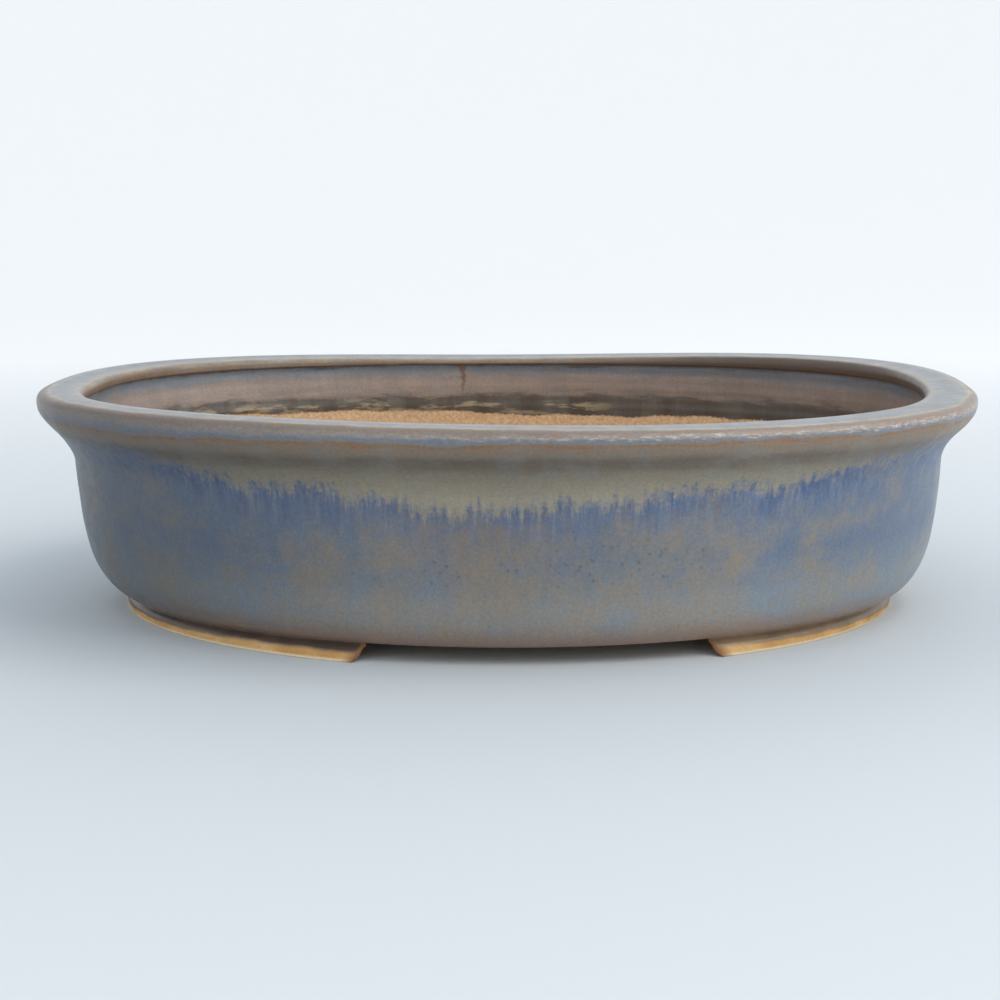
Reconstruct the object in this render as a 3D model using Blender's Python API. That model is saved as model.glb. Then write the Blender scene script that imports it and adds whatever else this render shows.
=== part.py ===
"""Oval bonsai pot of glazed stoneware, built as its maker builds it.

A flat floor slab stands inside a curved wall. A rolled rim band closes the wall at the
top, and two curved feet carry the bowl. The feet follow the ends of the oval, so a gap
stays open between them at the front and at the back. All sizes are in metres, +Z is up,
and the origin is on the ground under the middle of the rim.

Every level of the pot is a flattened oval. A level is described by its inset, which is
how far it lies inside the outermost line of the rim, and by its height.
"""
import math

import bmesh
import bpy

# Driving dimensions.
RIM_LENGTH = 0.370
RIM_WIDTH = 0.260
HEIGHT = 0.089
WALL_THICKNESS = 0.006
FLOOR_THICKNESS = 0.007
FOOT_HEIGHT = 0.0062
FOOT_WIDTH = 0.014
JOINT_GAP = 0.0003

# The gap between the feet, measured along the long side of the pot.
FOOT_GAP_CENTRE = 0.0145
FOOT_GAP_AT_GROUND = 0.132
FOOT_GAP_AT_TOP = 0.123

# Holes in the floor: two to drain, four for the wires that hold a tree down.
DRAIN_DIAMETER = 0.022
DRAIN_SPACING = 0.150
WIRE_HOLE_DIAMETER = 0.005
WIRE_HOLE_SPACING_LONG = 0.084
WIRE_HOLE_SPACING_WIDE = 0.076

# Shape of the ovals: 2 is an ellipse, and a higher value has fuller corners.
RIM_FULLNESS = 2.47
FOOT_FULLNESS = 1.92
# Low on the pot the long sides drop straighter than the ends do. At the ground they have this
# much less inset, which fades out upwards.
SIDE_RELIEF = 0.017
SIDE_RELIEF_TOP = 0.030

# Levels of the section.
UNDERSIDE = FOOT_HEIGHT + JOINT_GAP
FLOOR_TOP = UNDERSIDE + FLOOR_THICKNESS
NECK = 0.062
ROLL_EDGE = 0.084
LIP_BOTTOM = 0.0826

# Insets of the section.
NECK_INSET = 0.0124
BODY_EDGE_INSET = 0.0293
FLOOR_EDGE_INSET = 0.0360
FOOT_INSET = 0.0300
FOOT_TOP_INSET = 0.0312
CROWN_INSET = 0.0094
LIP_INSET = 0.0198
INNER_NECK_INSET = NECK_INSET + WALL_THICKNESS

# How finely the curves are divided.
STEPS_AROUND = 72
STEPS_PER_CURVE = 6
FOOT_STATIONS = 40
DRAIN_SIDES = 24
WIRE_HOLE_SIDES = 12
SHARP_ANGLE = math.radians(35)


def clear_scene():
    """Start from an empty scene."""
    for item in list(bpy.data.objects):
        bpy.data.objects.remove(item, do_unlink=True)


def half_sizes(inset, height):
    """Half the length and half the width of the level at this inset and height."""
    drop = max(1 - height / SIDE_RELIEF_TOP, 0.0)
    relief = SIDE_RELIEF * drop ** 2
    return RIM_LENGTH / 2 - inset, RIM_WIDTH / 2 - inset + relief


def fullness(height):
    """The exponent of the oval, which grows from the feet to the rim."""
    return FOOT_FULLNESS + (RIM_FULLNESS - FOOT_FULLNESS) * height / HEIGHT


def oval_point(angle, inset, height):
    """The point of a level in the direction of an angle, seen from the middle."""
    half_length, half_width = half_sizes(inset, height)
    power = fullness(height)
    along = abs(math.cos(angle) / half_length) ** power
    across = abs(math.sin(angle) / half_width) ** power
    radius = (along + across) ** (-1 / power)
    return radius * math.cos(angle), radius * math.sin(angle), height


def even_angle(step, count):
    """An angle that spaces the points of an oval about evenly."""
    turn = 2 * math.pi * step / count
    return math.atan2(RIM_WIDTH * math.sin(turn), RIM_LENGTH * math.cos(turn))


def bezier(start, first, second, end, steps=STEPS_PER_CURVE):
    """Points of a cubic curve, without its last one."""
    points = []
    for step in range(steps):
        t = step / steps
        weights = ((1 - t) ** 3, 3 * t * (1 - t) ** 2, 3 * t * t * (1 - t), t ** 3)
        corners = (start, first, second, end)
        points.append(tuple(sum(w * c[axis] for w, c in zip(weights, corners)) for axis in (0, 1)))
    return points


def new_object(name, mesh_builder, material):
    """Make a named object from a bmesh, shade it smooth and give it its material."""
    mesh = bpy.data.meshes.new(name)
    bmesh.ops.recalc_face_normals(mesh_builder, faces=mesh_builder.faces)
    mesh_builder.to_mesh(mesh)
    mesh_builder.free()
    mesh.shade_smooth()
    mesh.set_sharp_from_angle(angle=SHARP_ANGLE)
    mesh.materials.append(material)
    item = bpy.data.objects.new(name, mesh)
    bpy.context.scene.collection.objects.link(item)
    return item


def make_material(name, colour, roughness):
    """A plain Principled material."""
    material = bpy.data.materials.new(name)
    material.use_nodes = True
    shader = material.node_tree.nodes["Principled BSDF"]
    shader.inputs["Base Color"].default_value = (*colour, 1.0)
    shader.inputs["Roughness"].default_value = roughness
    shader.inputs["Metallic"].default_value = 0.0
    return material


def corner_loop(builder, points):
    """The corners of one closed loop."""
    return [builder.verts.new(point) for point in points]


def bridge(builder, before, after):
    """A band of four-sided faces between two loops with equally many corners."""
    for i in range(len(before)):
        builder.faces.new((before[i - 1], before[i], after[i], after[i - 1]))


def swept_ring(section):
    """Carry a closed section, given as (inset, height) points, right round the pot."""
    builder = bmesh.new()
    angles = [even_angle(step, STEPS_AROUND) for step in range(STEPS_AROUND)]
    loops = []
    for inset, height in section:
        loops.append(corner_loop(builder, [oval_point(a, inset, height) for a in angles]))
    for index, loop in enumerate(loops):
        bridge(builder, loops[index - 1], loop)
    return builder


def make_rim():
    """The rolled rim band: a flat crown, a full outer roll and a lip that hangs inside."""
    base = NECK + JOINT_GAP
    section = bezier((NECK_INSET, base), (0.0110, 0.0730), (0.0, 0.0762), (0.0, ROLL_EDGE), 8)
    section += bezier((0.0, ROLL_EDGE), (0.0, 0.0880), (0.0022, 0.0882), (CROWN_INSET, HEIGHT))
    section += bezier((CROWN_INSET, HEIGHT), (0.0150, 0.0892), (LIP_INSET, 0.0888),
                      (LIP_INSET, 0.0850))
    section += bezier((LIP_INSET, 0.0850), (LIP_INSET, 0.0834), (0.0193, LIP_BOTTOM),
                      (INNER_NECK_INSET, LIP_BOTTOM - 0.0006), 4)
    section += [(INNER_NECK_INSET, LIP_BOTTOM - 0.0020), (INNER_NECK_INSET, base)]
    glaze = make_material("rim_glaze", (0.36, 0.33, 0.31), 0.22)
    return new_object("rim", swept_ring(section), glaze)


def make_wall():
    """The wall: almost upright, turning in with a round heel to stand on its own edge."""
    section = bezier((NECK_INSET, NECK), (0.0134, 0.0265), (0.0164, 0.0138),
                     (BODY_EDGE_INSET, UNDERSIDE), 9)
    seat = FLOOR_EDGE_INSET - JOINT_GAP
    section += [(BODY_EDGE_INSET, UNDERSIDE), (seat, UNDERSIDE)]
    section += bezier((seat, FLOOR_TOP), (0.0215, 0.0140), (0.0195, 0.0300),
                      (INNER_NECK_INSET, NECK), 8)
    section += [(INNER_NECK_INSET, NECK)]
    glaze = make_material("wall_glaze", (0.21, 0.24, 0.28), 0.30)
    return new_object("wall", swept_ring(section), glaze)


def make_cutter(name, diameter, sides, places):
    """Round bars through the floor, as one hidden cutter."""
    builder = bmesh.new()
    for x, y in places:
        bar = bmesh.ops.create_cone(builder, cap_ends=True, segments=sides,
                                    radius1=diameter / 2, radius2=diameter / 2,
                                    depth=4 * FLOOR_THICKNESS)
        bmesh.ops.translate(builder, verts=bar["verts"], vec=(x, y, UNDERSIDE))
    mesh = bpy.data.meshes.new(name)
    builder.to_mesh(mesh)
    builder.free()
    cutter = bpy.data.objects.new(name, mesh)
    cutter.hide_render = True
    cutter.display_type = "WIRE"
    bpy.context.scene.collection.objects.link(cutter)
    return cutter


def add_cut(target, cutter):
    """Take the cutter out of the target with an exact Boolean."""
    cut = target.modifiers.new(cutter.name, "BOOLEAN")
    cut.operation = "DIFFERENCE"
    cut.solver = "EXACT"
    cut.object = cutter


def make_floor():
    """The floor slab, with its drain holes and its wiring holes."""
    builder = bmesh.new()
    angles = [even_angle(step, STEPS_AROUND) for step in range(STEPS_AROUND)]
    loops = []
    for height in (UNDERSIDE, FLOOR_TOP):
        outline = [oval_point(a, FLOOR_EDGE_INSET, height) for a in angles]
        loops.append(corner_loop(builder, outline))
        builder.faces.new(loops[-1])
    bridge(builder, *loops)
    clay = make_material("floor_clay", (0.52, 0.30, 0.16), 0.85)
    floor = new_object("floor", builder, clay)

    drains = [(side * DRAIN_SPACING / 2, 0.0) for side in (-1, 1)]
    wires = [(x * WIRE_HOLE_SPACING_LONG / 2, y * WIRE_HOLE_SPACING_WIDE / 2)
             for x in (-1, 1) for y in (-1, 1)]
    add_cut(floor, make_cutter("drain_cutter", DRAIN_DIAMETER, DRAIN_SIDES, drains))
    add_cut(floor, make_cutter("wire_cutter", WIRE_HOLE_DIAMETER, WIRE_HOLE_SIDES, wires))
    return floor


def foot_end_angle(side, inset, height):
    """The direction in which a foot ends, for a line at this inset and height.

    Every line ends at the same x, so the foot is cut square across the pot.
    """
    rise = height / FOOT_HEIGHT
    gap = FOOT_GAP_AT_GROUND + (FOOT_GAP_AT_TOP - FOOT_GAP_AT_GROUND) * rise
    x = FOOT_GAP_CENTRE + side * gap / 2
    half_length, half_width = half_sizes(inset, height)
    power = fullness(height)
    y = half_width * (1 - abs(x / half_length) ** power) ** (1 / power)
    return math.atan2(y, x)


def make_foot(name, side):
    """A foot that follows one end of the oval. Side is +1 at +X and -1 at -X.

    Both of its ends lean, so that the gap is wider at the ground than under the bowl.
    """
    section = ((FOOT_INSET + 0.0008, 0.0), (FOOT_INSET, 0.0010), (FOOT_INSET, 0.0034),
               (FOOT_TOP_INSET, FOOT_HEIGHT), (FOOT_INSET + FOOT_WIDTH, FOOT_HEIGHT),
               (FOOT_INSET + FOOT_WIDTH, 0.0010), (FOOT_INSET + FOOT_WIDTH - 0.0008, 0.0))
    builder = bmesh.new()
    loops = []
    for station in range(FOOT_STATIONS + 1):
        points = []
        for inset, height in section:
            end = foot_end_angle(side, inset, height)
            reach = end if side > 0 else math.pi - end
            swing = reach * (1 - 2 * station / FOOT_STATIONS)
            angle = swing if side > 0 else math.pi - swing
            points.append(oval_point(angle, inset, height))
        loops.append(corner_loop(builder, points))
    for before, after in zip(loops, loops[1:]):
        bridge(builder, before, after)
    caps = [builder.faces.new(loop) for loop in (loops[0], loops[-1])]
    bmesh.ops.triangulate(builder, faces=caps)
    clay = make_material(name + "_clay", (0.45, 0.27, 0.12), 0.75)
    return new_object(name, builder, clay)


def main():
    """Model the pot."""
    clear_scene()
    make_floor()
    make_wall()
    make_rim()
    make_foot("foot_left", -1)
    make_foot("foot_right", 1)


main()
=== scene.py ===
# %% [markdown]
# # An oval bonsai pot in running glaze
# The pot is stoneware: a flat floor, a curved wall, a rolled rim and two feet that follow
# the ends of the oval. A blue glaze was poured over it and ran in the kiln, so it is brown
# where it is thin, cream where a second coat lies under the rim, and blue where that coat
# ran out. The lower inside and the feet are bare clay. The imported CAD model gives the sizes,
# and this script makes the fine surface around it.

# %% Load the frame
import math

import bpy
import numpy as np
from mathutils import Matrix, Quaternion, Vector


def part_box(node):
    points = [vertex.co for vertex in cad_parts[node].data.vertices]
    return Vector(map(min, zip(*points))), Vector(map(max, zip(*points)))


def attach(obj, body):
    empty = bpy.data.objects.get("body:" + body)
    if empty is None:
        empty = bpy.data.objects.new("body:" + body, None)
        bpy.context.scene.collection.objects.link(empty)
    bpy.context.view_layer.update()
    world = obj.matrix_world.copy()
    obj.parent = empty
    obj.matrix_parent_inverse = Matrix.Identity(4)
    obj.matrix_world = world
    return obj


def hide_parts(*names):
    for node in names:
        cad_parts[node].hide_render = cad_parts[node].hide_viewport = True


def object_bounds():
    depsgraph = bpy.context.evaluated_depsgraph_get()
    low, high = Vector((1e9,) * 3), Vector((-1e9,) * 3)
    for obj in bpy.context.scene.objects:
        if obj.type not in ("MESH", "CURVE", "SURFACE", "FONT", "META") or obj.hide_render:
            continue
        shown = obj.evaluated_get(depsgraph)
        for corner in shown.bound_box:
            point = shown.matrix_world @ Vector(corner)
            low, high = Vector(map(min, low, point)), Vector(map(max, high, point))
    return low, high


MM = 0.001
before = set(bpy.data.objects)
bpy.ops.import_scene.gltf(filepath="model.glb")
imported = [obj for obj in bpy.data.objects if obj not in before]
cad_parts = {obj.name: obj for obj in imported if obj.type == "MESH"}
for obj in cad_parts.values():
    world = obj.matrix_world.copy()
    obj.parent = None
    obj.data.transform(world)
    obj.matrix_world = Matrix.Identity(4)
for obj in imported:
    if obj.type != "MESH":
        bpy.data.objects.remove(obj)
cad_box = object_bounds()

RIM_LENGTH = cad_box[1].x - cad_box[0].x
RIM_WIDTH = cad_box[1].y - cad_box[0].y
HEIGHT = cad_box[1].z
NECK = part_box("wall")[1].z
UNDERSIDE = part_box("wall")[0].z
FLOOR_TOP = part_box("floor")[1].z
FOOT_END_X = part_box("foot_right")[1].x
print("pot:", [round(size / MM, 1) for size in (RIM_LENGTH, RIM_WIDTH, HEIGHT)], "mm")

# %% [markdown]
# ## The oval at every level
# A potter cuts the pot from one oval pattern, so each level is the same kind of curve: a
# flattened oval that lies a certain inset within the rim's outermost line. It could be drawn
# as a curve object for each level. A formula is used instead, because one function then
# gives the rim, wall, floor and feet, and they meet exactly.

# %% The oval formula
RIM_FULLNESS = 2.47
FOOT_FULLNESS = 1.92
FULLNESS_HEIGHT = 89 * MM
SIDE_RELIEF = 17 * MM
SIDE_RELIEF_TOP = 30 * MM


def half_sizes(inset, height):
    """Half the length and half the width of a level: half the rim's size less the inset, and
    on the long sides a relief that grows with the square of the drop below 30 mm."""
    drop = np.clip(1 - height / SIDE_RELIEF_TOP, 0, None)
    return RIM_LENGTH / 2 - inset, RIM_WIDTH / 2 - inset + SIDE_RELIEF * drop ** 2


def fullness(height):
    """The oval's exponent: 2 is an ellipse, and it grows evenly from the feet to the rim."""
    return FOOT_FULLNESS + (RIM_FULLNESS - FOOT_FULLNESS) * height / FULLNESS_HEIGHT


def oval(angle, inset, height):
    """Points in the direction of an angle, where the radius is
    (|cos(angle) / half length|^p + |sin(angle) / half width|^p)^(-1/p), with p the fullness."""
    angle, inset, height = np.broadcast_arrays(angle, inset, height)
    half_length, half_width = half_sizes(inset, height)
    power = fullness(height)
    along = np.abs(np.cos(angle) / half_length) ** power
    across = np.abs(np.sin(angle) / half_width) ** power
    radius = (along + across) ** (-1 / power)
    return np.stack([radius * np.cos(angle), radius * np.sin(angle), height], axis=-1)


def turn_of(angle):
    """The turn round the pot, which is the angle after the oval is stretched to a circle."""
    return np.arctan2(np.sin(angle) / RIM_WIDTH, np.cos(angle) / RIM_LENGTH)


def ease(value, start, end):
    """0 before start, 1 after end, and t^2 (3 - 2t) in between."""
    t = np.clip((value - start) / (end - start), 0, 1)
    return t * t * (3 - 2 * t)


ground_length, ground_width = half_sizes(30 * MM, 0.0)
print("feet on the ground:", round(2 * ground_length / MM), "by", round(2 * ground_width / MM), "mm")

# %% [markdown]
# ## The maker's hand
# No two levels of a hand-made pot are quite parallel. The top of this rim rises and falls by
# one or two millimetres on its way round, its lip is narrower at the left, and the walls are
# a little uneven. A few long waves of the turn give this, and every piece takes the same
# waves, so that the pieces still meet.

# %% Waves of the rim and the clay
# Each wave of the rim: its size in mm, how many times it goes round, and its phase in degrees.
LIFT_WAVES = ((-0.6, 0, 0.0), (-0.5, 1, 0.0), (1.3, 2, 47.0), (0.4, 3, 70.0), (0.4, 4, 180.0))
LIFT_FROM = 82.5 * MM
LIFT_FULL = 87.5 * MM


def rim_lift(angle, height):
    """Sum of size * cos(count * turn - phase), growing in from under the roll to the crown."""
    turn = turn_of(angle)
    waves = sum(size * np.cos(count * turn - math.radians(phase))
                for size, count, phase in LIFT_WAVES)
    return waves * MM * ease(height, LIFT_FROM, LIFT_FULL)


def clay_waves(angle, height, seed, count=24):
    """Gentle unevenness between about -1 and 1: the mean of sines that wind round the pot,
    each with its own count, climb and start."""
    draw = np.random.default_rng(seed)
    turn = turn_of(angle)
    total = 0
    for _ in range(count):
        rounds = draw.integers(2, 26)
        climb = draw.normal(0, 120)
        start = draw.uniform(0, 2 * math.pi)
        total = total + np.sin(rounds * turn + climb * height + start)
    return total / math.sqrt(count)


once_round = np.linspace(0, 2 * math.pi, 200)
lifts = rim_lift(once_round, HEIGHT) / MM
print("the rim's top lies", round(lifts.min(), 1), "to", round(lifts.max(), 1), "mm off flat")

# %% [markdown]
# ## Where the glaze stops
# Three lines follow the pot. The cream coat was dipped over the rim and ran down to the first
# line outside; it hangs low on the long sides and stays high at the ends. Inside, the glaze
# stops at the second line and bare clay begins. The third is the wiped edge on the feet. The
# lines are used twice: the coat's thickness is in the mesh, and its colour is in the finish.

# %% Glaze lines
def run_line(angle):
    """Height of the cream coat's lower edge: 56 mm, plus 19 mm |cos(turn)|^1.3 towards the
    ends, plus a step of 7 mm at the left, plus small lobes."""
    turn = turn_of(angle)
    left = ease(-np.cos(turn), 0.52, 0.72)
    lobes = 1.3 * np.sin(9 * turn + 0.6) + 0.9 * np.sin(17 * turn + 2.0) + 0.6 * np.sin(31 * turn)
    return (56.0 + 19 * np.abs(np.cos(turn)) ** 1.3 + 7 * left + lobes) * MM


def clay_line(angle):
    """Height of the glaze's lower edge inside: 60.4 mm, less 2.6 mm cos(turn), plus 3 mm
    cos(turn)^2, so it is highest at the left, plus small lobes."""
    turn = turn_of(angle)
    lobes = 0.5 * np.sin(7 * turn + 1.0) + 0.35 * np.sin(19 * turn) + 0.25 * np.sin(43 * turn + 2.0)
    return (60.4 - 2.6 * np.cos(turn) + 3.0 * np.cos(turn) ** 2 + lobes) * MM


def foot_line(angle):
    """Height of the wiped glaze edge on the feet: 3.3 mm, less 1 mm cos(turn)^4 towards the
    ends of the pot, plus small lobes."""
    turn = turn_of(angle)
    lobes = 0.16 * np.sin(11 * turn) + 0.12 * np.sin(37 * turn + 1.3) + 0.08 * np.sin(83 * turn)
    return (3.3 - 1.0 * np.cos(turn) ** 4 + lobes) * MM


for edge_name, edge_line in (("cream", run_line), ("inner", clay_line), ("foot", foot_line)):
    levels = edge_line(once_round) / MM
    print(edge_name, "edge between", round(levels.min(), 1), "and", round(levels.max(), 1), "mm up")

# %% [markdown]
# ## Sections and skins
# A section is the outline that a template would cut through the clay. It is made of cubic
# curves and straight runs, with as many steps as each bend needs. A section carried round the
# oval is a grid of points, and the skin is the grid's four-sided faces.

# %% Curves, grids and meshes
def curve(start, first, second, end, steps):
    """Points from start towards end, without the end, in millimetres turned to metres:
    (1-t)^3 start + 3t(1-t)^2 first + 3t^2(1-t) second + t^3 end."""
    t = (np.arange(steps) / steps)[:, None]
    weights = ((1 - t) ** 3, 3 * t * (1 - t) ** 2, 3 * t * t * (1 - t), t ** 3)
    return sum(w * np.array(p, float) for w, p in zip(weights, (start, first, second, end))) * MM


def line(start, end, steps):
    """Evenly spaced points from start towards end, without the end, in millimetres."""
    return curve(start, start, end, end, steps)


def grid_faces(rows, columns, closed_rows, closed_columns):
    """The faces of a grid of points. A closed direction joins its last line to its first."""
    row = np.arange(rows if closed_rows else rows - 1)[:, None]
    column = np.arange(columns if closed_columns else columns - 1)[None, :]
    next_row, next_column = (row + 1) % rows, (column + 1) % columns
    corners = (row * columns + column, row * columns + next_column,
               next_row * columns + next_column, next_row * columns + column)
    return np.stack(np.broadcast_arrays(*corners), axis=-1).reshape(-1, 4)


def skin_volume(points, faces):
    """Six times the volume inside a closed skin, which is positive if it faces outwards: the
    sum over two triangles of each face of (a x b) . c."""
    a, b, c, d = (points[faces[:, corner]] for corner in range(4))
    return float((np.cross(a, b) * c).sum() + (np.cross(a, c) * d).sum())


def add_skin(name, points, faces, sharp_degrees=50):
    """Make a named object of a closed skin: turned to face outwards, and smooth but for its
    sharp corners. A face with a repeated corner is a triangle."""
    points = points.reshape(-1, 3)
    if skin_volume(points, faces) < 0:
        faces = faces[:, ::-1]
    polygons = [list(dict.fromkeys(face)) for face in faces.tolist()]
    mesh = bpy.data.meshes.new(name)
    mesh.from_pydata(points.tolist(), [], polygons)
    mesh.shade_smooth()
    mesh.set_sharp_from_angle(angle=math.radians(sharp_degrees))
    item = bpy.data.objects.new(name, mesh)
    bpy.context.scene.collection.objects.link(item)
    print(name, len(points), "points,", sum(len(p) - 2 for p in polygons), "triangles")
    return item


def add_value(item, name, values):
    """Store one number per point, for the finish to read."""
    layer = item.data.attributes.new(name, "FLOAT", "POINT")
    layer.data.foreach_set("value", np.ascontiguousarray(values, np.float32).ravel())


def run_length(section):
    """Distance along a section from its first point."""
    steps = np.hypot(*np.diff(section, axis=0).T)
    return np.concatenate([[0], np.cumsum(steps)])


print("a run of 10 mm in 5 steps has", len(line((0, 0), (10, 0), 5)), "points")

# %% [markdown]
# ## The rim
# The rim is a thick band with a flat top, a crisp outer edge, a full roll outside and a lip
# that hangs a little over the inner wall. It could be a circle swept along a path, but then
# the flat top would be lost, so its true section is drawn. The value "down" is stored on every
# point: millimetres down the outside from the crisp edge, or below zero going inwards.

# %% Draw the rim's section
AROUND = 900
NECK_OUTSIDE, NECK_INSIDE = 12.4, 18.4
turns = 2 * math.pi * np.arange(AROUND) / AROUND
ANGLES = np.arctan2(RIM_WIDTH * np.sin(turns), RIM_LENGTH * np.cos(turns))[None, :]
NECK_MM = NECK / MM

rim_outside = np.concatenate([
    curve((3.2, 88.4), (1.4, 88.2), (0.0, 87.2), (0.0, 84.6), 14),
    curve((0.0, 84.6), (0.0, 76.6), (11.0, 73.0), (NECK_OUTSIDE, NECK_MM), 34),
    [(NECK_OUTSIDE * MM, NECK)],
])
rim_inside = np.concatenate([
    line((3.2, 88.4), (8.0, 88.95), 8),
    line((8.0, 88.95), (16.4, 88.7), 12),
    curve((16.4, 88.7), (19.0, 88.6), (19.8, 87.4), (19.8, 85.4), 10),
    curve((19.8, 85.4), (19.8, 84.2), (19.6, 83.4), (18.4, 83.2), 8),
    line((18.4, 83.2), (NECK_INSIDE, NECK_MM), 22),
])
seam = line((NECK_INSIDE, NECK_MM), (NECK_OUTSIDE, NECK_MM), 3)
NECK_DOWN = run_length(rim_outside)[-1]
NECK_IN = run_length(np.vstack([rim_inside, seam[:1]]))[-1]
rim_section = np.vstack([rim_inside, seam, np.flip(rim_outside[1:], axis=0)])
rim_down = np.concatenate([
    -run_length(rim_inside), np.linspace(-NECK_IN, NECK_DOWN, 3),
    np.flip(run_length(rim_outside))[:-1],
]) / MM
print("section:", len(rim_section), "points, down", round(rim_down.min()), "to", round(rim_down.max()))

# %% [markdown]
# ## Thickness of the glaze, and the uneven lip
# Glaze adds a third of a millimetre, so where it ends there is a step that catches the light.
# The step could be a bump in the finish, but real relief also shows at the outline. Two more
# formulas give the lip its narrower, sloping left end.

# %% Coats and lip
STEP_OF_COAT = 0.30


def inner_coat(angle, height):
    """How far the inner skin stands in from the clay: the coat's thickness above the clay
    line, and the low rings that the maker's rib left, one every 4.5 mm."""
    coat = STEP_OF_COAT * ease(height - clay_line(angle), -0.4 * MM, 1.2 * MM)
    rings = 0.10 * np.sin(height / (4.5 * MM) * 2 * math.pi + 1.5 * np.sin(2 * turn_of(angle)))
    return (coat + rings + 0.12 * clay_waves(angle, height, 3)) * MM


def outer_coat(angle, height):
    """How far the outer skin stands out: a second coat above the run line, and unevenness."""
    coat = 0.18 * ease(height - run_line(angle), -1.5 * MM, 1.5 * MM)
    return (coat * ease(height, 89 * MM, 78 * MM) + 0.16 * clay_waves(angle, height, 5)) * MM


def lip_narrowing(angle, inset):
    """The lip is up to 2.6 mm narrower at the left end of the pot."""
    left = 0.5 - 0.5 * np.cos(turn_of(angle))
    return 2.6 * MM * left ** 1.5 * ease(inset, 6 * MM, 17 * MM)


def lip_slope(angle, inset):
    """The top slopes inwards by up to 0.8 mm at the left end."""
    left = 0.5 - 0.5 * np.cos(turn_of(angle))
    return 0.8 * MM * left * ease(inset, 4 * MM, 18 * MM)


print("lip narrows by", round(lip_narrowing(math.pi, 17 * MM) / MM, 1), "mm at the left end")

# %% [markdown]
# ## Carry the section round
# The coats are faded in by place: the inner one on the inner face of the lip, the outer one
# below the crown. The waves of the rim are added last, to the heights.

# %% Make the rim
inset, height = rim_section[:, :1], rim_section[:, 1:]
inside = ease(inset, 17.0 * MM, 18.2 * MM)
on_roll = ease(inset, 12.6 * MM, 11.0 * MM) * ease(height, 88.6 * MM, 86.0 * MM)
outside = np.clip(on_roll + (rim_down[:, None] > 20), 0, 1)
worked = (inset - lip_narrowing(ANGLES, inset) * ease(height, NECK, 80 * MM)
          + inside * inner_coat(ANGLES, height) - outside * outer_coat(ANGLES, height))
rim_points = oval(ANGLES, worked, height)
slope = lip_slope(ANGLES, inset) * ease(height, 82 * MM, 87 * MM)
rim_points[..., 2] += rim_lift(ANGLES, height) - slope
rim = add_skin("rim_band", rim_points, grid_faces(len(rim_section), AROUND, True, True))

# %% [markdown]
# ## The wall
# Below the neck the wall drops almost straight, then turns in with a round heel. Inside, it
# flows into the floor with a wide cove. Its grid uses the same directions as the rim, so the
# two skins share every point of the seam.

# %% Draw the wall's section
BODY_EDGE = 29.3
SEAT = 36.0
UNDER_MM = UNDERSIDE / MM
FLOOR_MM = FLOOR_TOP / MM

HEEL_START = (BODY_EDGE - 1.2, UNDER_MM + 0.55)
HEEL_END = (BODY_EDGE + 0.6, UNDER_MM)
SEAT_LOW = (SEAT + 0.6, UNDER_MM)
SEAT_HIGH = (SEAT + 0.6, FLOOR_MM - 0.4)

wall_outside = np.concatenate([
    curve((NECK_OUTSIDE, NECK_MM), (13.4, 26.5), (16.4, 13.8), HEEL_START, 46),
    curve(HEEL_START, (BODY_EDGE - 0.4, UNDER_MM + 0.1), (BODY_EDGE, UNDER_MM), HEEL_END, 6),
])
wall_under = np.concatenate([line(HEEL_END, SEAT_LOW, 5), line(SEAT_LOW, SEAT_HIGH, 3)])
wall_inside = curve(SEAT_HIGH, (22.0, 13.4), (19.5, 30.0), (NECK_INSIDE, NECK_MM), 48)
wall_seam = line((NECK_INSIDE, NECK_MM), (NECK_OUTSIDE, NECK_MM), 3)
wall_section = np.vstack([wall_outside, wall_under, wall_inside, wall_seam])
outside_down = NECK_DOWN + run_length(np.vstack([wall_outside, wall_under]))
inside_length = run_length(np.vstack([wall_inside, wall_seam[:1]]))
wall_down = np.concatenate([
    outside_down, -NECK_IN - inside_length[-1] + inside_length[:-1],
    np.linspace(-NECK_IN, NECK_DOWN, 4)[:3],
]) / MM
UNDER_DOWN = wall_down[len(wall_outside)]
print("section:", len(wall_section), "points; the glaze runs", round(UNDER_DOWN), "mm to the underside")

# %% [markdown]
# ## The wall's skin
# The wall takes the same two coats as the rim. Both fade out before the edges where the wall
# meets the floor and the underside, which keep their exact places.

# %% Make the wall
inset, height = wall_section[:, :1], wall_section[:, 1:]
rows = np.arange(len(wall_section))[:, None]
first_inside = len(wall_outside) + len(wall_under)
is_outside = (rows < len(wall_outside)) * 1.0
is_inside = ((rows >= first_inside) & (rows <= first_inside + len(wall_inside))) * 1.0
worked = (inset + is_inside * ease(height, FLOOR_TOP, 24 * MM) * inner_coat(ANGLES, height)
          - is_outside * ease(height, UNDERSIDE, 10 * MM) * outer_coat(ANGLES, height))
wall_points = oval(ANGLES, worked, height)
wall = add_skin("bowl_wall", wall_points, grid_faces(len(wall_section), AROUND, True, True))

# %% [markdown]
# ## Values for the finish
# The finish has to know how far down the glaze each point lies, and how far above the two
# glaze lines. These could be worked out again from coordinates in nodes. Storing them as
# attributes is simpler, and a colour edge then falls exactly on its step in the mesh.

# %% Store the glaze values on rim and wall
for item, points, down in ((rim, rim_points, rim_down), (wall, wall_points, wall_down)):
    down = np.broadcast_to(down[:, None], points.shape[:2])
    add_value(item, "down", down)
    add_value(item, "above_run", points[..., 2] / MM - run_line(ANGLES) / MM)
    add_value(item, "above_clay", points[..., 2] / MM - clay_line(ANGLES) / MM)
    print(item.name, "down", round(float(down.min()), 1), "to", round(float(down.max()), 1), "mm")

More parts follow.
